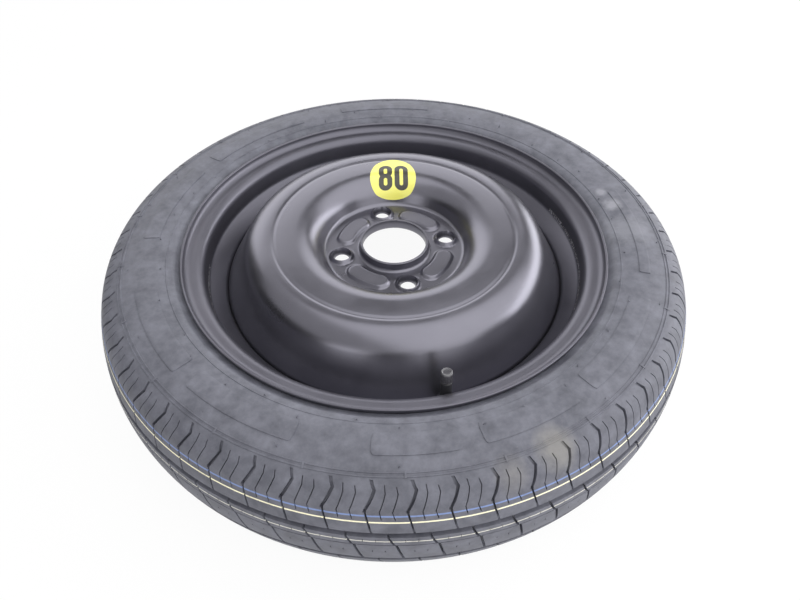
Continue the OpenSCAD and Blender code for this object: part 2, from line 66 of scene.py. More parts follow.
# Tyre; its heights and the rim's count from the rim's middle
WHEEL_OFFSET = 39.5
TYRE_R = 290.5
CROWN_R = 118
SHOULDER_R = 26
TREAD_HALF = 45
RING_ANGLE = 76
BULGE_R = 238
SECTION_HALF = 64
SIDEWALL = 5.5
CROWN_WALL = 10
REST_HALF = 6
GROOVE_DEPTH = 4
MAIN_GROOVE_Z = 21
MAIN_GROOVE_W = 5.5
CENTRE_SLIT_Z = 7.8
REPEATS = 57
# The pattern repeats turned over about this place
TURN_X = 18.6
BEAD_GAP = 0.2
MARKS = 22
MARK_R = 261.5
# Name, colour, height, width and strength of the painted lines
PAINT_LINES = [("blue line", "#8298cc", 40.8, 1.4, 0.8), ("cream line", "#fbf5d4", 35, 1.4, 1.0),
               ("second cream line", "#f1eee0", 13.3, 1.0, 0.85)]
# Place, size, colour and strength of dry smudges
SMUDGES = [((228.5, 10.6, 24), 9, "#9a9aa2", 0.6), ((230.3, -11.9, 24), 15, "#9a9aa2", 0.7),
           ((226.5, -52.9, 23), 34, "#85868e", 0.6), ((58.5, -258, 14), 26, "#8d8a84", 0.6),
           ((20, -266, 10), 22, "#86837f", 0.5)]
# First and last degree, middle radius and half height of the bars
BARS = [(-175, -150, 238, 9.5), (-146, -122, 238, 9.5), (-108, -92, 238, 9.5),
        (-88, -68, 238, 9.5), (-64, -36, 238, 9.5), (-28, 2, 240, 5), (-118, -98, 219.5, 3),
        (-48, -30, 220.5, 3), (66, 92, 240, 5.5), (104, 134, 238, 8), (140, 168, 238, 8)]
BAR_H = 0.7
BAR_SUNK = 0.15

# Rim
SEAT_R = 190.1
FLANGE_Z = 50.8
RIM_T = 2.6
CURL_R = 9.5
HEEL_R = 6.5
LIP_R = SEAT_R + 17.5
SEAT_TAPER = 5
WELL_R = 170.3
WELL_HALF = 17.8
WELL_WALL = 41.6
WELL_BEND = 5
# The painted highlight, a thin bright dotted line painted into the rim's colour: radius, height,
# half width, half height, and how far back it reaches
GLINT_R = 186.1
GLINT_Z = -7
GLINT_HALF = 0.5
GLINT_RISE = 3
GLINT_BACK = 30

# Disc; its heights count from the hub face
DISC_T = 4
HUB_R = 31.7
COLLAR_T = 2.5
COLLAR_H = 13.2
COLLAR_FLARE = 6.3
CREST_H = 28.8
CREST_IN_R = 98.6
CREST_ROUND = 27
DISH_LEAN = 24
CREASE_R = 118.8
# Across and down of the shallow crease in the dome
CREASE = [(-4, 0), (-2.8, 0.15), (-1.6, 0.42), (-0.6, 0.62), (0.2, 0.6), (1, 0.35), (1.8, 0.1),
          (2.6, 0)]
CREST_OUT_R = 124
DOME_ROUND = 29
CONE_ANGLE = 60
SKIRT_BEND = 12
SKIRT_L = 22
SKIRT_R = WELL_R - 0.1
NUT_CIRCLE_R = 54
NUT_COUNT = 4
NUT_HOLE_R = 7.3
NUT_SEAT_R = 9.7
BOSS_R = 13
BOSS_H = 3.8
PAD_R = 51
PAD_HALF = 10.5
PAD_H = 2.8
PAD_SPAN = 54
SLOPE = 3.6

# Label
LABEL_AZIMUTH = 77
LABEL_HALF_W = 25
LABEL_HALF_L = 27.3
LABEL_S = 8.2
LABEL_T = 0.17
STICK_GAP = 0.03
# 0.5 draws a true oval, less a squarer one
SQUARENESS = 0.455
STROKE_IN = 1.9
STROKE_OUT = 7.3
STROKE_T = 0.03
STROKE_GAP = 0.02

# Valve
VALVE_R = 179.2
VALVE_LEAN = 4
VALVE_SEAT_Z = 29


# ---- Shapes ----
def polar(centre, radius, degrees):
    a = math.radians(degrees)
    return (centre[0] + radius * math.cos(a), centre[1] + radius * math.sin(a))


def arc(centre, radius, start, end, steps):
    return [polar(centre, radius, start + (end - start) * i / steps) for i in range(steps + 1)]


def row(start, end, steps):
    """Evenly spaced numbers, both ends included."""
    return [start + (end - start) * i / steps for i in range(steps + 1)]


def bend(before, corner, after, radius, steps=8):
    """The arc that rounds a corner between its two neighbours."""
    p, q, r = Vector(before[:2]), Vector(corner[:2]), Vector(after[:2])
    u, w = (p - q).normalized(), (r - q).normalized()
    half = u.angle(w) / 2
    middle = q + (u + w).normalized() * radius / math.sin(half)
    first, last = (q + v * radius / math.tan(half) - middle for v in (u, w))
    start = math.degrees(math.atan2(first.y, first.x))
    turn = (math.degrees(math.atan2(last.y, last.x)) - start + 540) % 360 - 180
    return arc(middle, radius, start, start + turn, steps)


def rounded(corners, steps=8):
    """A closed outline of corners (radius, height, rounding)."""
    outline = []
    for i, corner in enumerate(corners):
        before, after = corners[i - 1], corners[(i + 1) % len(corners)]
        outline += bend(before, corner, after, corner[2], steps) if corner[2] else [corner[:2]]
    return outline


def below(path):
    """The same points on the other side of the middle plane, in reverse order."""
    return [(p[0], -p[1], *p[2:]) for p in reversed(path)]


def lifted(path, rise):
    return [(p[0], p[1] + rise) for p in path]


def deselect():
    if bpy.context.mode != "OBJECT":
        bpy.ops.object.mode_set(mode="OBJECT")
    bpy.ops.object.select_all(action="DESELECT")


def pick(piece):
    deselect()
    piece.select_set(True)
    bpy.context.view_layer.objects.active = piece


def loop(name, points, fill="NOTHING"):
    """A ring of corners at points, left in edit mode with all of it selected."""
    deselect()
    bpy.ops.mesh.primitive_circle_add(vertices=len(points), fill_type=fill)
    piece = bpy.context.object
    piece.name = name
    for vertex, point in zip(piece.data.vertices, points):
        vertex.co = Vector(point) * MM
    bpy.ops.object.mode_set(mode="EDIT")
    bpy.ops.mesh.select_all(action="SELECT")
    return piece


def tidy(piece):
    """Merges doubled corners, drops loose edges and points the faces outwards."""
    pick(piece)
    bpy.ops.object.mode_set(mode="EDIT")
    bpy.ops.mesh.select_all(action="SELECT")
    bpy.ops.mesh.remove_doubles(threshold=MERGE)
    bpy.ops.mesh.dissolve_degenerate(threshold=MERGE / 10)
    bpy.ops.mesh.delete_loose()
    bpy.ops.mesh.select_all(action="SELECT")
    bpy.ops.mesh.normals_make_consistent(inside=False)
    bpy.ops.object.mode_set(mode="OBJECT")
    return piece


def spin(steps, degrees, **settings):
    """Spins what is selected anticlockwise about the wheel's axis, seen from the street side."""
    bpy.ops.mesh.spin(steps=steps, angle=math.radians(degrees), center=(0, 0, 0),
                      axis=(0, 0, -1), **settings)


def turned(name, outline, steps, degrees=360):
    """A closed outline of (radius, height) turned about the wheel's axis."""
    piece = loop(name, [(r, 0, z) for r, z in outline])
    spin(steps, degrees)
    return tidy(piece)


def drawn(name, rings):
    """A closed bar drawn out through rings of corners."""
    piece = loop(name, rings[0], fill="NGON")
    for last, ring in zip(rings, rings[1:]):
        bpy.ops.mesh.extrude_region_move()
        edit = bmesh.from_edit_mesh(piece.data)
        for vertex in [v for v in edit.verts if v.select]:
            spot = vertex.co / MM
            near = min(range(len(last)), key=lambda k: (Vector(last[k]) - spot).length)
            vertex.co = Vector(ring[near]) * MM
        bmesh.update_edit_mesh(piece.data)
    tidy(piece)
    shape = bmesh.new()
    shape.from_mesh(piece.data)
    if shape.calc_volume(signed=True) < 0:
        piece.data.flip_normals()
    shape.free()
    return piece


def joined(name, pieces):
    pick(pieces[0])
    for piece in pieces:
        piece.select_set(True)
    if len(pieces) > 1:
        bpy.ops.object.join()
    pieces[0].name = name
    return pieces[0]


def cut(piece, cutter, operation="DIFFERENCE"):
    """Cuts the cutter out of the piece, or keeps or adds it, and deletes the cutter."""
    pick(piece)
    modifier = piece.modifiers.new("cut", "BOOLEAN")
    modifier.object, modifier.operation, modifier.solver = cutter, operation, "EXACT"
    bpy.ops.object.modifier_apply(modifier=modifier.name)
    bpy.data.objects.remove(cutter)


def modified(piece, kind, **settings):
    pick(piece)
    modifier = piece.modifiers.new(kind.lower(), kind)
    for key, value in settings.items():
        setattr(modifier, key, value)
    bpy.ops.object.modifier_apply(modifier=modifier.name)


def copied(piece, name, place):
    """A copy with its own mesh, moved by the matrix place."""
    twin = piece.copy()
    twin.data = piece.data.copy()
    twin.data.transform(place)
    twin.name = name
    bpy.context.collection.objects.link(twin)
    return twin


def about_axle(degrees):
    return Matrix.Rotation(math.radians(degrees), 4, "Z")


def finished(piece, material, body="wheel", stands_for=(), crease=32):
    """Smooths the piece, gives it its material and lets it ride."""
    pick(piece)
    bpy.ops.object.shade_smooth_by_angle(angle=math.radians(crease))
    piece.data.materials.clear()
    piece.data.materials.append(material)
    if stands_for:
        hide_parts(*stands_for)
    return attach(piece, body)


# ---- Materials ----
def colour(code):
    """An sRGB hex value as linear red, green, blue and alpha."""
    parts = [int(code[i:i + 2], 16) / 255 for i in (1, 3, 5)]
    return (*(c / 12.92 if c <= 0.04045 else ((c + 0.055) / 1.055) ** 2.4 for c in parts), 1)


def add(tree, kind, inputs, **settings):
    """One node with its settings; each input is linked to a socket or set to a value."""
    made = tree.nodes.new(kind)
    for key, value in settings.items():
        setattr(made, key, value)
    for socket, value in inputs.items():
        if isinstance(value, bpy.types.NodeSocket):
            tree.links.new(value, made.inputs[socket])
        else:
            made.inputs[socket].default_value = value
    return made


def surface(name, inputs):
    """A new material with its Principled shader's own sockets set."""
    material = bpy.data.materials.new(name)
    material.use_nodes = True
    shader = material.node_tree.nodes["Principled BSDF"]
    for socket, value in inputs.items():
        shader.inputs[socket].default_value = value
    return material, material.node_tree, shader


def per_mm(size):
    """Noise scale for features of this size in millimetres."""
    return 1 / (size * MM)


def satin_enamel(name, dark, light, metallic, gloss, dullest):
    """Black electrocoat enamel on steel, baked thin and satin: the steel's sheen comes
    through it, so it shows as a soft grey with broad highlights, a fine orange peel and
    slightly duller patches."""
    material, tree, shader = surface(name, {"IOR": 1.5, "Metallic": metallic})
    place = add(tree, "ShaderNodeTexCoord", {}).outputs["Object"]
    patches = add(tree, "ShaderNodeTexNoise",
                  {"Vector": place, "Scale": per_mm(45), "Detail": 3, "Roughness": 0.55})
    tint = add(tree, "ShaderNodeMix",
               {"Factor": patches.outputs["Fac"], "A": colour(dark), "B": colour(light)},
               data_type="RGBA")
    dull = add(tree, "ShaderNodeMapRange",
               {"Value": patches.outputs["Fac"], "From Min": 0.3, "From Max": 0.7,
                "To Min": gloss, "To Max": dullest})
    peel = add(tree, "ShaderNodeTexNoise",
               {"Vector": place, "Scale": per_mm(1.6), "Detail": 2, "Roughness": 0.5})
    relief = add(tree, "ShaderNodeBump",
                 {"Height": peel.outputs["Fac"], "Strength": 0.12, "Distance": 0.0001})
    tree.links.new(tint.outputs["Result"], shader.inputs["Base Color"])
    tree.links.new(dull.outputs["Result"], shader.inputs["Roughness"])
    tree.links.new(relief.outputs["Normal"], shader.inputs["Normal"])
    return material


def painted_glint_edge(material):
    """A painted highlight: a dotted near-white glint painted into the colour around the bend
    under the bead seat, at the near side only.
    """
    tree, shader = material.node_tree, material.node_tree.nodes["Principled BSDF"]
    skin = shader.inputs["Base Color"].links[0].from_socket
    place = add(tree, "ShaderNodeTexCoord", {}).outputs["Object"]
    split = add(tree, "ShaderNodeSeparateXYZ", {"Vector": place})
    flat = add(tree, "ShaderNodeCombineXYZ",
               {"X": split.outputs["X"], "Y": split.outputs["Y"]})
    radius = add(tree, "ShaderNodeVectorMath", {0: flat.outputs["Vector"]}, operation="LENGTH")
    ring = add(tree, "ShaderNodeMath", {0: radius.outputs["Value"], 1: GLINT_R * MM,
                                        2: GLINT_HALF * MM}, operation="COMPARE")
    # The painted glint is put on the near side only
    front = add(tree, "ShaderNodeMath", {0: split.outputs["Y"], 1: GLINT_BACK * MM},
                operation="LESS_THAN")
    upper = add(tree, "ShaderNodeMath", {0: split.outputs["Z"], 1: GLINT_Z * MM,
                                         2: GLINT_RISE * MM}, operation="COMPARE")
    glint_band = add(tree, "ShaderNodeMath", {0: ring.outputs[0], 1: upper.outputs[0]},
               operation="MULTIPLY")
    glint_band = add(tree, "ShaderNodeMath", {0: glint_band.outputs[0], 1: front.outputs[0]},
               operation="MULTIPLY")
    glint_dots = add(tree, "ShaderNodeTexNoise",
               {"Vector": place, "Scale": per_mm(1.7), "Detail": 1, "Roughness": 0.5})
    glint_dots = add(tree, "ShaderNodeMapRange", {"Value": glint_dots.outputs["Fac"], "From Min": 0.52,
                                            "From Max": 0.6, "To Max": 0.9})
    share = add(tree, "ShaderNodeMath", {0: glint_band.outputs[0], 1: glint_dots.outputs["Result"]},
                operation="MULTIPLY")
    # Near white mixed into the enamel's colour is the painted highlight
    tint = add(tree, "ShaderNodeMix",
               {"Factor": share.outputs[0], "A": skin, "B": colour("#f2f1f4")}, data_type="RGBA")
    tree.links.new(tint.outputs["Result"], shader.inputs["Base Color"])
    return material


def tyre_rubber():
    """Moulded tyre rubber, new: a matt blue grey with a dusty bloom, a fine grain, and the
    thin lines that the tread maker paints on as colour marks."""
    material, tree, shader = surface(
        "moulded_tyre_rubber", {"IOR": 1.52, "Specular IOR Level": 0.35})
    place = add(tree, "ShaderNodeTexCoord", {}).outputs["Object"]
    bloom = add(tree, "ShaderNodeTexNoise",
                {"Vector": place, "Scale": per_mm(16), "Detail": 8, "Roughness": 0.68})
    dust = add(tree, "ShaderNodeMapRange",
               {"Value": bloom.outputs["Fac"], "From Min": 0.32, "From Max": 0.68})
    tint = add(tree, "ShaderNodeMix",
               {"Factor": dust.outputs["Result"], "A": colour("#55565f"), "B": colour("#74757f")},
               data_type="RGBA")
    split = add(tree, "ShaderNodeSeparateXYZ", {"Vector": place})
    flat = add(tree, "ShaderNodeCombineXYZ",
               {"X": split.outputs["X"], "Y": split.outputs["Y"]})
    radius = add(tree, "ShaderNodeVectorMath", {0: flat.outputs["Vector"]}, operation="LENGTH")
    skin = tint.outputs["Result"]
    for name, code, height, width, strength in PAINT_LINES:
        lowest = on_tread(height)[0] - 0.9
        gap = add(tree, "ShaderNodeMath",
                  {0: split.outputs["Z"], 1: (height - WHEEL_OFFSET) * MM, 2: width / 2 * MM},
                  operation="COMPARE")
        top = add(tree, "ShaderNodeMath", {0: radius.outputs["Value"], 1: lowest * MM},
                  operation="GREATER_THAN")
        worn = add(tree, "ShaderNodeMapRange",
                   {"Value": bloom.outputs["Fac"], "From Min": 0.3, "From Max": 0.45,
                    "To Min": strength * 0.6, "To Max": strength})
        both = add(tree, "ShaderNodeMath", {0: gap.outputs[0], 1: top.outputs[0]},
                   operation="MULTIPLY")
        share = add(tree, "ShaderNodeMath", {0: both.outputs[0], 1: worn.outputs["Result"]},
                    operation="MULTIPLY")
        skin = add(tree, "ShaderNodeMix",
                   {"Factor": share.outputs[0], "A": skin, "B": colour(code)},
                   data_type="RGBA", label=name).outputs["Result"]
    for (x, y, z), size, code, strength in SMUDGES:
        moved = add(tree, "ShaderNodeMapping",
                    {"Vector": place, "Location": Vector((-x, -y, -z)) / size,
                     "Scale": Vector((1, 1, 1)) * per_mm(size)})
        spot = add(tree, "ShaderNodeTexGradient", {"Vector": moved.outputs["Vector"]},
                   gradient_type="SPHERICAL")
        ragged = add(tree, "ShaderNodeMath",
                     {0: spot.outputs["Fac"], 1: bloom.outputs["Fac"]}, operation="MULTIPLY")
        share = add(tree, "ShaderNodeMapRange",
                    {"Value": ragged.outputs[0], "From Min": 0.1, "From Max": 0.35,
                     "To Min": 0, "To Max": strength})
        skin = add(tree, "ShaderNodeMix",
                   {"Factor": share.outputs["Result"], "A": skin, "B": colour(code)},
                   data_type="RGBA").outputs["Result"]
    grain = add(tree, "ShaderNodeTexNoise",
                {"Vector": place, "Scale": per_mm(1.4), "Detail": 4, "Roughness": 0.6})
    dull = add(tree, "ShaderNodeMapRange",
               {"Value": bloom.outputs["Fac"], "From Min": 0.3, "From Max": 0.7,
                "To Min": 0.5, "To Max": 0.66})
    relief = add(tree, "ShaderNodeBump",
                 {"Height": grain.outputs["Fac"], "Strength": 0.25, "Distance": 0.0002})
    tree.links.new(skin, shader.inputs["Base Color"])
    tree.links.new(dull.outputs["Result"], shader.inputs["Roughness"])
    tree.links.new(relief.outputs["Normal"], shader.inputs["Normal"])
    return material


def speckled(name, dark, light, grain_mm, inputs, relief_strength=0.1):
    """A material whose colour wavers between two shades at the size of its grain."""
    material, tree, shader = surface(name, inputs)
    place = add(tree, "ShaderNodeTexCoord", {}).outputs["Object"]
    grain = add(tree, "ShaderNodeTexNoise",
                {"Vector": place, "Scale": per_mm(grain_mm), "Detail": 4, "Roughness": 0.6})
    tint = add(tree, "ShaderNodeMix",
               {"Factor": grain.outputs["Fac"], "A": colour(dark), "B": colour(light)},
               data_type="RGBA")
    relief = add(tree, "ShaderNodeBump",
                 {"Height": grain.outputs["Fac"], "Strength": relief_strength,
                  "Distance": 0.0001})
    tree.links.new(tint.outputs["Result"], shader.inputs["Base Color"])
    tree.links.new(relief.outputs["Normal"], shader.inputs["Normal"])
    return material


# ---- Tyre ----
crown_centre = (TYRE_R - CROWN_R, 0)
shoulder_angle = math.degrees(math.asin(TREAD_HALF / CROWN_R))
shoulder_centre = polar(crown_centre, CROWN_R - SHOULDER_R, shoulder_angle)
ring_point = polar(shoulder_centre, SHOULDER_R, RING_ANGLE)
bulge_rise = SECTION_HALF - ring_point[1]
side_r = ((ring_point[0] - BULGE_R) ** 2 + bulge_rise ** 2) / 2 / bulge_rise
side_centre = (BULGE_R, SECTION_HALF - side_r)
side_start = math.degrees(
    math.atan2(ring_point[1] - side_centre[1], ring_point[0] - side_centre[0]))
side_end = 90 + math.degrees(math.asin((BULGE_R - LIP_R) / 2 / side_r))
rest_z = side_centre[1] + math.sqrt(side_r ** 2 - REST_HALF ** 2)
pitch = 360 / REPEATS
pitch_mm = 2 * math.pi * TYRE_R / REPEATS


def on_tread(z, lift=0):
    """Radius and height of the point lifted off the tread at height z."""
    if abs(z) <= TREAD_HALF:
        centre, r, rise = crown_centre, CROWN_R, abs(z)
    else:
        centre, r, rise = shoulder_centre, SHOULDER_R, abs(z) - shoulder_centre[1]
    p = polar(centre, r + lift, math.degrees(math.asin(rise / r)))
    return (p[0], math.copysign(p[1], z))


def on_sidewall(radius, lift=0):
    """Radius and height of the point lifted off the upper sidewall at this radius."""
    a = math.degrees(math.acos((radius - side_centre[0]) / side_r))
    return polar(side_centre, side_r + lift, a)


def ridge(radius, half, height):
    """A low ridge around the sidewall, from the outside in."""
    return [on_sidewall(radius + half), on_sidewall(radius + half * 0.6, height),
            on_sidewall(radius - half * 0.6, height), on_sidewall(radius - half)]


def tyre_half():
    """From the shoulder down the outside, around the bead and up the inside."""
    heel = (SEAT_R + BEAD_GAP, FLANGE_Z - BEAD_GAP)
    toe_z = FLANGE_Z - 19
    toe = (SEAT_R - (FLANGE_Z - toe_z) * math.tan(math.radians(SEAT_TAPER)) + BEAD_GAP, toe_z)
    curl = (LIP_R - CURL_R, FLANGE_Z + CURL_R)
    step = (RING_ANGLE - shoulder_angle) / 12
    return (
        arc(shoulder_centre, SHOULDER_R, shoulder_angle + step, RING_ANGLE - step / 2, 12)
        + ridge(262.9, 0.7, 0.7) + ridge(260.1, 0.6, 0.6)
        + [on_sidewall(r) for r in row(256, 222, 8)]
        + ridge(219.5, 0.6, 0.4)
        + [on_sidewall(216.5), on_sidewall(214)]
        + [(LIP_R + 4.2, curl[1] - 1.4), (LIP_R + 1.4, curl[1] - 3.8)]
        + arc(curl, CURL_R + BEAD_GAP, -26, -90, 5)
        + bend((curl[0], heel[1]), heel, toe, HEEL_R, 5)
        + [toe, (toe[0] + 5, toe_z - 1.5), (LIP_R - 6, toe_z + 5.5), (LIP_R + 4, toe_z + 16)]
        + arc(side_centre, side_r - SIDEWALL, side_end, 80, 4))


def tread_line():
    """Across the crown from the lower to the upper shoulder, with all that runs around it."""
    def slot(z, half, depth):
        return [on_tread(z - half), on_tread(z - half * 0.85, -depth),
                on_tread(z + half * 0.85, -depth), on_tread(z + half)]
    g, w = MAIN_GROOVE_Z, MAIN_GROOVE_W / 2
    return ([on_tread(z) for z in row(-TREAD_HALF, -g - w - 4, 4)]
            + slot(-g, w, GROOVE_DEPTH)
            + [on_tread(z) for z in row(-g + w + 4, CENTRE_SLIT_Z - 4, 4)]
            + slot(CENTRE_SLIT_Z, 0.45, 1.8)
            + [on_tread(CENTRE_SLIT_Z + 5)]
            + slot(g, w, GROOVE_DEPTH)
            + [on_tread(z) for z in row(g + w + 4, TREAD_HALF, 4)])


def groove(name, path, width, depth, end_depth=None, steps=3):
    """A cutter that follows the tread through points (height, way around)."""
    rings = []
    end_depth = depth if end_depth is None else end_depth
    way = [(a[0] + (b[0] - a[0]) * i / steps, a[1] + (b[1] - a[1]) * i / steps)
           for a, b in zip(path, path[1:]) for i in range(steps)] + [path[-1]]
    for i, (z, x) in enumerate(way):
        deep = end_depth + (depth - end_depth) * min(1, i / 4)
        turn = Matrix.Rotation(x / TYRE_R, 3, "Z")
        top, floor = on_tread(z, 1), on_tread(z, -deep)
        rings.append([turn @ Vector((p[0], side * width / 2, p[1]))
                      for p, side in ((top, -1), (top, 1), (floor, 0.8), (floor, -0.8))])
    return drawn(name, rings)


def tread_cutters():
    """All cuts of one repeat as (path, width, depth, depth at the start)."""
    shoulder = [
        ([(60.0, -0.6), (56.9, 2.3), (45, -4.7), (43.5, -4.6)], 2.8, GROOVE_DEPTH, 1.3),
        ([(44.6, -4.6), (20.5, 1.2)], 1.7, GROOVE_DEPTH, GROOVE_DEPTH),
        ([(58.8, 9.9), (55.6, 10.7), (44.2, 6.4), (37.2, 8.0)], 0.85, 2.8, 1.2),
        ([(58.3, 19.2), (55.6, 20.4), (44.2, 16.1), (37.2, 18.3)], 0.85, 2.8, 1.2),
    ]
    lower = [([(-z, TURN_X * 2 - x) for z, x in path], *rest) for path, *rest in shoulder]
    centre = [([(20.5, 11.9), (8.4, 17.1), (7.2, 19.1), (-20.5, 25.3)], 2.2,
               GROOVE_DEPTH, GROOVE_DEPTH)]
    ticks = [([(z + 1.6, x - side * 0.5), (z, x + side * 0.3), (z - 1.6, x - side * 0.5)],
              0.7, 1.3, 1.0)
             for z, x, side in ((14, 25.9, 1), (14, 35.7, 1), (-2.5, 0.7, -1), (-2.5, 10.5, -1))]
    return shoulder + lower + centre + ticks


def smooth_ends(u):
    """Even steps from 0 to 1, crowded at both ends."""
    return (1 - math.cos(math.pi * u)) / 2


def make_tyre():
    inner = arc(crown_centre, CROWN_R - CROWN_WALL, 24, -24, 8)
    outline = tread_line() + tyre_half() + inner + below(tyre_half())
    outline = [(r, max(z, -rest_z)) for r, z in outline]
    sector = turned("moulded_tyre", outline, 3, pitch)
    bpy.ops.object.mode_set(mode="EDIT")
    bpy.ops.mesh.select_all(action="SELECT")
    bpy.ops.mesh.fill_holes(sides=0)
    tidy(sector)
    for path, width, depth, start in tread_cutters():
        places = [x for _, x in path]
        low, high = min(places) - width, max(places) + width
        for turn in range(-2, 3):
            if high + turn * pitch_mm > 0 and low + turn * pitch_mm < pitch_mm:
                moved = [(z, x + turn * pitch_mm) for z, x in path]
                cut(sector, groove("groove", moved, width, depth, start))
    # The two end faces go, and the sector is repeated around the axle
    pick(sector)
    bpy.ops.object.mode_set(mode="EDIT")
    bpy.ops.mesh.select_mode(type="FACE")
    bpy.ops.mesh.select_all(action="DESELECT")
    edit = bmesh.from_edit_mesh(sector.data)
    for face in edit.faces:
        turns = [math.degrees(math.atan2(v.co.y, v.co.x)) for v in face.verts]
        face.select_set(any(all(abs(t - end) < 0.005 for t in turns) for end in (0, pitch)))
    bmesh.update_edit_mesh(sector.data)
    bpy.ops.mesh.delete(type="FACE")
    bpy.ops.mesh.select_mode(type="VERT")
    bpy.ops.mesh.select_all(action="SELECT")
    spin(REPEATS - 1, 360 - pitch, dupli=True)
    tidy(sector)
    sector.data.transform(Matrix.Translation((0, 0, -WHEEL_OFFSET * MM)))
    return sector


def at_sidewall(radius, degrees, lift):
    """The matrix that puts a small piece on the street side's sidewall, its Z outwards."""
    r, z = on_sidewall(radius, lift)
    out = Vector((r - side_centre[0], 0, z - side_centre[1])).normalized()
    tangent = Vector((0, 1, 0))
    axes = Matrix((tangent.cross(out), tangent, out)).transposed().to_4x4()
    return (about_axle(degrees) @ Matrix.Translation(Vector((r, 0, z - WHEEL_OFFSET)) * MM)
            @ axes)


def make_hairs(rubber):
    """The fine hairs of rubber that the vents of the mould leave, bent over and trimmed."""
    spine = [(0, 0, -0.3), (0, 0, 0.5), (0.2, 0.3, 1.0), (0.6, 1.1, 1.3), (1.0, 2.2, 1.1)]
    thick = [0.42, 0.38, 0.36, 0.3, 0.2]
    rings = [[(x + t * math.cos(k * math.pi / 3), y + t * math.sin(k * math.pi / 3), z)
              for k in range(6)] for (x, y, z), t in zip(spine, thick)]
    hair = drawn("hair", rings)
    hairs = []
    places = [(luck.uniform(217, 232), k * 10 + luck.uniform(-3, 3)) for k in range(36)]
    places += [(luck.uniform(253, 257.5), k * 20 + luck.uniform(-5, 5)) for k in range(18)]
    for r, a in places:
        lean = Matrix.Rotation(luck.uniform(0, 2 * math.pi), 4, "Z")
        size = Matrix.Scale(luck.uniform(0.9, 1.6), 4)
        hairs.append(copied(hair, "hair", at_sidewall(r, a, 0) @ lean @ size))
    bpy.data.objects.remove(hair)
    return finished(joined("vent_hairs", hairs), rubber, crease=60)


def make_mould_marks(rubber):
    """Short blocks over the sidewall's ring where the mould's segments meet."""
    marks = []
    for k in range(MARKS):
        rings = [[(x, y, z) for x, y in ((-2.6, -0.8), (2.6, -0.8), (2.6, 0.8), (-2.6, 0.8))]
                 for z in (-0.4, 0.75)]
        rings.append([(x * 0.85, y * 0.7, 0.9) for x, y, _ in rings[0]])
        mark = drawn("mark", rings)
        mark.data.transform(at_sidewall(MARK_R, -53.1 - k * 360 / MARKS, 0))
        marks.append(mark)
    return finished(joined("mould_marks", marks), rubber)


def make_blank_bars(rubber):
    """Plain raised bars with round ends around the street side's sidewall."""
    def bar(first, last, middle, half):
        def place(u, v):
            long = 2 * u - 1
            end = half / (math.radians(last - first) * middle / 2)
            past = max(0, (abs(long) - (1 - end)) / end)
            r = middle + half * (2 * v - 1) * math.sqrt(max(0, 1 - past * past))
            r, z = on_sidewall(r, -BAR_SUNK)
            a = math.radians(first + (last - first) * smooth_ends(u))
            return Vector((r * math.cos(a), r * math.sin(a), z - WHEEL_OFFSET)) * MM
        piece = film("bar", 44, 6, place, BAR_H)
        modified(piece, "BEVEL", width=0.3 * MM, segments=2, angle_limit=math.radians(60))
        return piece
    return finished(joined("blank_bars", [bar(*spec) for spec in BARS]), rubber)


# ---- Rim ----
def rim_side(d):
    """Corners of one side of the sheet from lip to well, d inside the tyre's side."""
    taper, wall = math.tan(math.radians(SEAT_TAPER)), math.tan(math.radians(WELL_WALL))

    def seat_r(z):
        return SEAT_R - (FLANGE_Z - z) * taper - d / math.cos(math.radians(SEAT_TAPER))

    def wall_z(r):
        return WELL_HALF + (r - WELL_R) * wall - (RIM_T - d) / math.cos(math.radians(WELL_WALL))
    ledge_r = (seat_r(0) + wall_z(0) * taper) / (1 - taper * wall)
    floor_r = WELL_R + RIM_T - d
    return [(LIP_R - d, FLANGE_Z + CURL_R + RIM_T * 0.45, RIM_T * 0.45),
            (LIP_R - d, FLANGE_Z + d, CURL_R - d),
            (seat_r(FLANGE_Z + d), FLANGE_Z + d, HEEL_R + d),
            (ledge_r, wall_z(ledge_r), WELL_BEND + RIM_T - d),
            (floor_r, wall_z(floor_r), WELL_BEND + d)]


def at_valve():
    """The matrix from the valve's own frame to the wheel's."""
    return (Matrix.Translation(Vector((0, -VALVE_R, VALVE_SEAT_Z - WHEEL_OFFSET)) * MM)
            @ Matrix.Rotation(math.radians(-VALVE_LEAN), 4, "X"))


def make_rim():
    inner, outer = rim_side(RIM_T), rim_side(0)
    corners = inner + below(inner) + list(reversed(outer + below(outer)))
    rim = turned("rolled_rim", lifted(rounded(corners, 10), -WHEEL_OFFSET), 240)
    # The seat that is pressed flat for the valve's foot, and its hole
    for r, low, high in ((7.2, -0.1, 12), (5.8, -14, 2)):
        punch = turned("punch", [(0, low), (r, low), (r, high), (0, high)], 48)
        punch.data.transform(at_valve())
        cut(rim, punch)
    return tidy(rim)


# ---- Disc ----
def disc_line(d):
    """From the hub plate over the crest to the skirt's foot, d under the outer face."""
    in_c = (CREST_IN_R, CREST_H - CREST_ROUND)
    out_c = (CREST_OUT_R, CREST_H - DOME_ROUND)
    wall_a, cone_a = 180 - DISH_LEAN, 90 - CONE_ANGLE
    wall_top = polar(in_c, CREST_ROUND - d, wall_a)
    wall_foot = (wall_top[0] - (wall_top[1] - DISC_T + d) * math.tan(math.radians(DISH_LEAN)),
                 DISC_T - d)
    cone_top = polar(out_c, DOME_ROUND - d, cone_a)
    cone = math.tan(math.radians(CONE_ANGLE))
    corner = (SKIRT_R - d, cone_top[1] - (SKIRT_R - d - cone_top[0]) * cone)
    top = [(CREASE_R + across, CREST_H - deep) for across, deep in CREASE] if d == 0 else []
    return (bend((HUB_R, DISC_T - d), wall_foot, wall_top, 5 + d, 6)
            + arc(in_c, CREST_ROUND - d, wall_a, 90, 20 if d == 0 else 8)
            + top
            + arc(out_c, DOME_ROUND - d, 90, cone_a, 20 if d == 0 else 8)
            + bend(cone_top, corner, (SKIRT_R - d, skirt_foot()), SKIRT_BEND - d, 8))


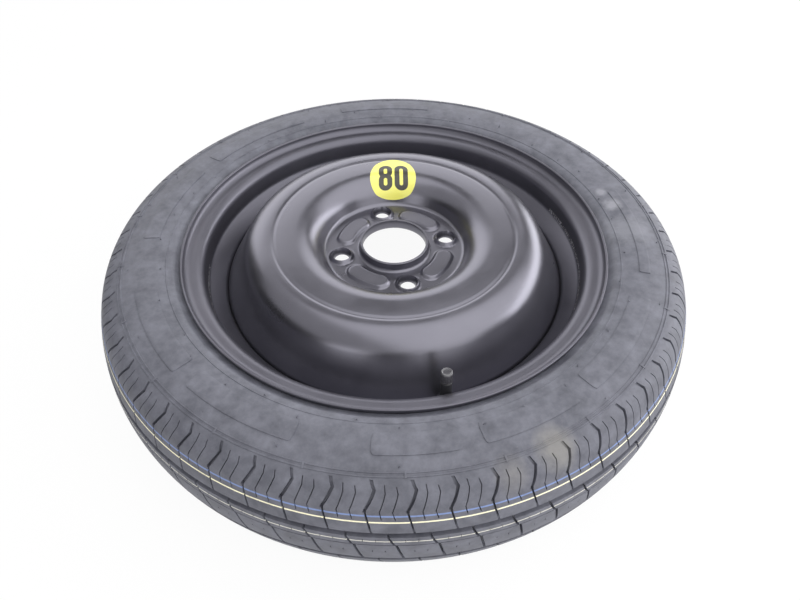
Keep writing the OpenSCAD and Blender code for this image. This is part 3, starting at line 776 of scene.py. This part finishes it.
def skirt_foot():
    cone_a = 90 - CONE_ANGLE
    top = polar((CREST_OUT_R, CREST_H - DOME_ROUND), DOME_ROUND, cone_a)
    corner_z = top[1] - (SKIRT_R - top[0]) * math.tan(math.radians(CONE_ANGLE))
    return corner_z - SKIRT_BEND * math.tan(math.radians(cone_a / 2)) - SKIRT_L


def smooth_step(x):
    """From 0 to 1 with flat ends."""
    x = max(0, min(1, x))
    return x * x * (3 - 2 * x)


def relief(x, y):
    """Height of the nut bosses and of the pads over the hub plate, at a place."""
    r, a = math.hypot(x, y), math.degrees(math.atan2(y, x))
    nearest = 360 / NUT_COUNT * round(a * NUT_COUNT / 360)
    from_nut = math.dist((x, y), polar((0, 0), NUT_CIRCLE_R, nearest))
    boss = BOSS_H * smooth_step((BOSS_R - from_nut) / SLOPE)
    off = (a - 45) % (360 / NUT_COUNT)
    off = min(off, 360 / NUT_COUNT - off)
    reach = PAD_SPAN / 2 - math.degrees(PAD_HALF / PAD_R)
    if off <= reach:
        from_pad = abs(r - PAD_R)
    else:
        from_pad = math.dist(polar((0, 0), r, off), polar((0, 0), PAD_R, reach))
    pad = PAD_H * smooth_step((PAD_HALF - from_pad) / SLOPE)
    return boss, pad


def make_disc():
    plate_top = [(r, DISC_T) for r in row(HUB_R + COLLAR_T + 4.3, 65.6, 30)]
    plate_back = [(r, 0) for r in row(65.6, HUB_R + COLLAR_FLARE + 1, 30)]
    flare = (HUB_R + COLLAR_FLARE, COLLAR_FLARE)
    collar = (arc(flare, COLLAR_FLARE, -90, -180, 8)
              + [(HUB_R, COLLAR_H - 0.6), (HUB_R + 0.2, COLLAR_H - 0.15)]
              + bend((HUB_R, COLLAR_H), (HUB_R + COLLAR_T, COLLAR_H), (HUB_R + COLLAR_T, DISC_T),
                     0.9, 4)
              + bend((HUB_R + COLLAR_T, COLLAR_H), (HUB_R + COLLAR_T, DISC_T),
                     (CREST_IN_R, DISC_T), 3.5, 6))
    foot = skirt_foot()
    outline = (collar + plate_top + disc_line(0)
               + [(SKIRT_R, foot + 0.6), (SKIRT_R - 0.6, foot),
                  (SKIRT_R - DISC_T + 0.6, foot), (SKIRT_R - DISC_T, foot + 0.6)]
               + list(reversed(disc_line(DISC_T))) + plate_back)
    disc = turned("pressed_disc", outline, 288)
    for vertex in disc.data.vertices:
        x, y, z = vertex.co / MM
        if HUB_R + COLLAR_T + 2 < math.hypot(x, y) < 68 and z < DISC_T + 3:
            boss, pad = relief(x, y)
            rise = max(boss, pad) if z > DISC_T / 2 else pad
            vertex.co.z = max(z, (DISC_T if z > DISC_T / 2 else 0) + rise) * MM
    # Conical nut seats over straight holes
    top = DISC_T + BOSS_H
    seat_depth = (NUT_SEAT_R - NUT_HOLE_R) / math.tan(math.radians(30))
    seat = [(0, -1), (NUT_HOLE_R, -1), (NUT_HOLE_R, top - seat_depth),
            (NUT_SEAT_R + 0.6, top + 1.04), (0, top + 1.04)]
    drills = []
    for k in range(NUT_COUNT):
        drill = turned("drill", seat, 48)
        spot = polar((0, 0), NUT_CIRCLE_R * MM, k * 360 / NUT_COUNT)
        drill.data.transform(Matrix.Translation((*spot, 0)))
        drills.append(drill)
    cut(disc, joined("drills", drills))
    return tidy(disc)


def make_welds(enamel):
    """Six rippled weld beads between the skirt's foot and the well, on the hub's side."""
    foot = skirt_foot()
    beads = []
    for k in range(6):
        rings = []
        for i in range(57):
            a = math.radians((k + 0.25) * 60 + i * 0.5)
            swell = 1 + 0.12 * math.cos(i * math.pi) if 0 < i < 56 else 0.45
            section = [(SKIRT_R, foot + 0.5), (SKIRT_R - 3 * swell, foot + 0.5),
                       (SKIRT_R - 3.1 * swell, foot - 0.7 * swell),
                       (SKIRT_R - 2.2 * swell, foot - 2 * swell),
                       (SKIRT_R - 0.9 * swell, foot - 2.8 * swell), (SKIRT_R, foot - 3 * swell)]
            rings.append([(r * math.cos(a), r * math.sin(a), z) for r, z in section])
        beads.append(drawn("bead", rings))
    return finished(joined("weld_beads", beads), enamel, crease=50)


# ---- Label ----
def on_crest(s, lift):
    """Point of the disc's inner slope at distance s along it from the crest, lifted."""
    centre = (CREST_IN_R, CREST_H - CREST_ROUND)
    length = CREST_ROUND * math.radians(90 - DISH_LEAN)
    if s <= 0:
        return (CREST_IN_R - s, CREST_H + lift)
    if s < length:
        return polar(centre, CREST_ROUND + lift, 90 + math.degrees(s / CREST_ROUND))
    p = polar(centre, CREST_ROUND + lift, 180 - DISH_LEAN)
    lean = math.radians(DISH_LEAN)
    return (p[0] - (s - length) * math.sin(lean), p[1] - (s - length) * math.cos(lean))


def stuck(u, s, lift):
    """Place on the disc u to the right and s down from the label's middle line."""
    r, z = on_crest(s, lift)
    a = math.radians(LABEL_AZIMUTH) - u / r
    return Vector((r * math.cos(a), r * math.sin(a), z)) * MM


def film(name, columns, rows, place, thickness):
    """A thin film whose grid of corners goes where place puts it, with both from 0 to 1."""
    deselect()
    bpy.ops.mesh.primitive_grid_add(x_subdivisions=columns, y_subdivisions=rows, size=2)
    piece = bpy.context.object
    piece.name = name
    for vertex in piece.data.vertices:
        vertex.co = place((vertex.co.x + 1) / 2, (vertex.co.y + 1) / 2)
    tidy(piece)
    middle = piece.data.polygons[len(piece.data.polygons) // 2]
    if middle.normal.dot(middle.center) < 0 and middle.normal.z < 0:
        piece.data.flip_normals()
    modified(piece, "SOLIDIFY", thickness=thickness * MM, offset=1)
    return piece


def make_label(vinyl, print_black):
    def oval(u, v):
        x, y = 2 * u - 1, 2 * v - 1
        return stuck(LABEL_HALF_W * x * math.sqrt(1 - y * y * SQUARENESS),
                     LABEL_S - LABEL_HALF_L * y * math.sqrt(1 - x * x * SQUARENESS), STICK_GAP)
    finished(film("vinyl_label", 40, 40, oval, LABEL_T), vinyl,
             stands_for=["speed_label"], crease=50)

    # Plain numerals drawn with a broad stroke: a ring is two half circles and two straights
    def stroke(name, u0, s0, half_straight, lift):
        def ring(u, v):
            around, across = v * 4, STROKE_IN + (STROKE_OUT - STROKE_IN) * u
            side, part = int(min(around, 3.9999)), around - int(min(around, 3.9999))
            if side % 2 == 0:
                angle = math.pi * (part if side == 0 else 1 + part)
                x, y = across * math.cos(angle), across * math.sin(angle)
                y += half_straight if side == 0 else -half_straight
            else:
                x = -across if side == 1 else across
                y = half_straight * (1 - 2 * part) * (1 if side == 1 else -1)
            return stuck(u0 + x, s0 - y, lift)
        piece = film(name, 5, 64, ring, STROKE_T)
        return finished(piece, print_black, crease=50)
    lift = STICK_GAP + LABEL_T + STROKE_GAP
    middle = LABEL_S + 0.2
    stroke("numeral_right", 9.0, middle, 16.6 - STROKE_OUT, lift)
    for name, side in (("numeral_left_top", 1), ("numeral_left_foot", -1)):
        stroke(name, -8.1, middle - side * 6.95, 9.7 - STROKE_OUT, lift + STROKE_GAP * (side > 0))


# ---- Valve ----
def make_cap(plastic):
    """The moulded dust cap: fine grips, a rounded crown with a raised rim around its top."""
    top, foot, r, bore = 34.52, 24.22, 5.1, 4.05
    side = row(foot + 0.5, top - 2.6, 10)
    outline = ([(bore, foot), (r - 0.3, foot), (r, foot + 0.3)] + [(r, z) for z in side]
               + [(r, top - 1.6), (r - 0.15, top - 0.7), (r - 0.6, top - 0.12),
                  (r - 1.0, top), (r - 1.35, top - 0.1), (r - 1.6, top - 0.45),
                  (r - 2.2, top - 0.55), (0.6, top - 0.5), (0, top - 0.5), (0, top - 1.5),
                  (bore, top - 1.5)])
    cap = turned("dust_cap", outline, 144)
    for vertex in cap.data.vertices:
        x, y, z = vertex.co / MM
        if math.hypot(x, y) > r - 0.05 and side[0] - 0.1 < z < side[-1] + 0.1:
            grip = 1 - 0.055 * max(0, math.cos(24 * math.atan2(y, x))) ** 0.7
            vertex.co.x, vertex.co.y = x * grip * MM, y * grip * MM
    cap.data.transform(at_valve())
    return finished(cap, plastic, "cap", ["valve_cap"], crease=50)


# ---- Studio ----
def make_camera():
    bpy.ops.object.camera_add()
    camera = bpy.context.object
    camera.data.lens = EYE_LENS
    camera.data.sensor_width = 36
    turn = Matrix((EYE_RIGHT, EYE_UP, EYE_RIGHT.cross(EYE_UP))).transposed()
    camera.matrix_world = Matrix.Translation(EYE * MM) @ turn.to_4x4()
    bpy.context.scene.camera = camera


def softbox(place, towards, width, height, level):
    """A lit panel in metres whose face looks towards a place, as bright as level times white."""
    turn = (Vector(towards) - Vector(place)).to_track_quat("-Z", "Y").to_euler()
    bpy.ops.object.light_add(type="AREA", location=place, rotation=turn)
    lamp = bpy.context.object.data
    lamp.shape, lamp.size, lamp.size_y = "RECTANGLE", width, height
    lamp.energy = 4 * width * height * level


def unlit(tree, shader, share):
    """Shows plain white in place of the shader to the camera and in gloss and glass."""
    path = add(tree, "ShaderNodeLightPath", {})
    seen = add(tree, "ShaderNodeMath", {0: path.outputs["Is Camera Ray"],
                                        1: path.outputs["Is Glossy Ray"]}, operation="MAXIMUM")
    seen = add(tree, "ShaderNodeMath", {0: seen.outputs[0],
                                        1: path.outputs["Is Transmission Ray"]},
               operation="MAXIMUM")
    part = add(tree, "ShaderNodeMath", {0: seen.outputs[0], 1: share}, operation="MULTIPLY")
    white = add(tree, "ShaderNodeEmission", {"Color": (1, 1, 1, 1), "Strength": 1})
    return add(tree, "ShaderNodeMixShader", {0: part.outputs[0], 1: shader, 2: white.outputs[0]})


def make_studio():
    bpy.ops.mesh.primitive_plane_add(size=12, location=(0, 0, cad_low.z))
    floor = bpy.context.object
    floor.name = "studio_floor"
    material, tree, shader = surface("matt_white_floor", {"Roughness": 0.9})
    paper = add(tree, "ShaderNodeTexNoise", {"Scale": 3.0})
    tint = add(tree, "ShaderNodeMix", {"Factor": paper.outputs["Fac"], "A": colour("#f4f4f4"),
                                       "B": colour("#fbfbfb")}, data_type="RGBA")
    tree.links.new(tint.outputs["Result"], shader.inputs["Base Color"])
    shown = unlit(tree, shader.outputs[0], 0.94)
    tree.links.new(shown.outputs[0], tree.nodes["Material Output"].inputs["Surface"])
    floor.data.materials.append(material)
    world = bpy.data.worlds.new("pale_studio")
    world.use_nodes = True
    bpy.context.scene.world = world
    tree = world.node_tree
    # The walls are dim, and dimmer higher up
    way = add(tree, "ShaderNodeSeparateXYZ",
              {"Vector": add(tree, "ShaderNodeTexCoord", {}).outputs["Generated"]})
    walls = add(tree, "ShaderNodeMapRange",
                {"Value": way.outputs["Z"], "From Min": 0, "From Max": 0.3,
                 "To Min": 0.8, "To Max": 0.2}, interpolation_type="SMOOTHERSTEP")
    tree.links.new(walls.outputs["Result"], tree.nodes["Background"].inputs["Strength"])
    # The camera alone sees a white backdrop, which adds no light to the object
    path = add(tree, "ShaderNodeLightPath", {})
    backdrop = add(tree, "ShaderNodeBackground", {"Color": (1, 1, 1, 1), "Strength": 1})
    shown = add(tree, "ShaderNodeMixShader",
                {0: path.outputs["Is Camera Ray"], 1: tree.nodes["Background"].outputs[0],
                 2: backdrop.outputs[0]})
    tree.links.new(shown.outputs[0], tree.nodes["World Output"].inputs["Surface"])
    # Ceiling panels right and left, and upright panels at the right, behind and in front
    softbox((1.8, -1.4, 1.6), (1.8, -1.4, 0), 4.5, 4.6, 1.45)
    softbox((-1.75, -1.1, 1.6), (-1.75, -1.1, 0), 2.9, 5.2, 0.55)
    softbox((2.6, 0.4, 0.6), (0, 0, 0.2), 3.6, 1.2, 3.2)
    softbox((1.4, -3.8, 0.8), (0.6, 0, 0.2), 3.2, 1.5, 1.3)
    softbox((-2.2, -2.3, 0.75), (0, 0, 0.2), 1.5, 1.0, 1.6)
    softbox((0.0, 2.6, 1.1), (0, 0, 0.4), 3.9, 1.9, 1.7)
    bpy.context.scene.view_settings.view_transform = "Standard"


make_camera()
make_studio()
rubber = tyre_rubber()
rolled = satin_enamel("satin_enamel_with_painted_glint_on_rolled_steel", "#605f68", "#6e6d76", 0.8, 0.36, 0.45)
enamel = satin_enamel("satin_enamel_on_pressed_steel", "#6d6c75", "#7d7c85", 0.9, 0.27, 0.34)
finished(make_tyre(), rubber, stands_for=["tyre"])
make_hairs(rubber)
make_mould_marks(rubber)
make_blank_bars(rubber)
# The rim's enamel carries a painted highlight, a dotted near-white glint on the bend at the near
# side
finished(make_rim(), painted_glint_edge(rolled), stands_for=["rim"])
finished(make_disc(), enamel, stands_for=["wheel_disc"])
make_welds(enamel)
vinyl = speckled("gloss_vinyl_film", "#f1ec6c", "#f6f287", 25, {"Roughness": 0.2, "IOR": 1.5})
print_black = speckled("printed_black_ink", "#3a3834", "#4b4943", 2,
                       {"Roughness": 0.3, "IOR": 1.5})
make_label(vinyl, print_black)
plastic = speckled("moulded_polyethylene_cap", "#454449", "#525156", 1.5,
                   {"Roughness": 0.25, "IOR": 1.51, "Coat Weight": 1,
                    "Coat Roughness": 0.12})
make_cap(plastic)
# Finishes of the valve's own pieces
brass = speckled("turned_brass", "#b2924a", "#c9ad66", 0.6,
                 {"Metallic": 1, "Roughness": 0.3})
valve_rubber = speckled("moulded_valve_rubber", "#2c2c30", "#3a3a3e", 1,
                        {"Roughness": 0.55, "IOR": 1.52})
red_seal = speckled("red_core_seal", "#8f3128", "#a8453a", 0.5, {"Roughness": 0.5})
spring_wire = speckled("drawn_spring_wire", "#b4b7bb", "#cfd2d6", 0.3,
                       {"Metallic": 1, "Roughness": 0.25})
for node, material in {
        "valve_body": valve_rubber, "valve_stem": brass, "core_plug": brass,
        "core_barrel": brass, "core_gasket": red_seal, "valve_pin": brass,
        "pin_seal": valve_rubber, "core_spring": spring_wire,
        "cap_gasket": valve_rubber}.items():
    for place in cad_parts[node].material_slots:
        place.material = material
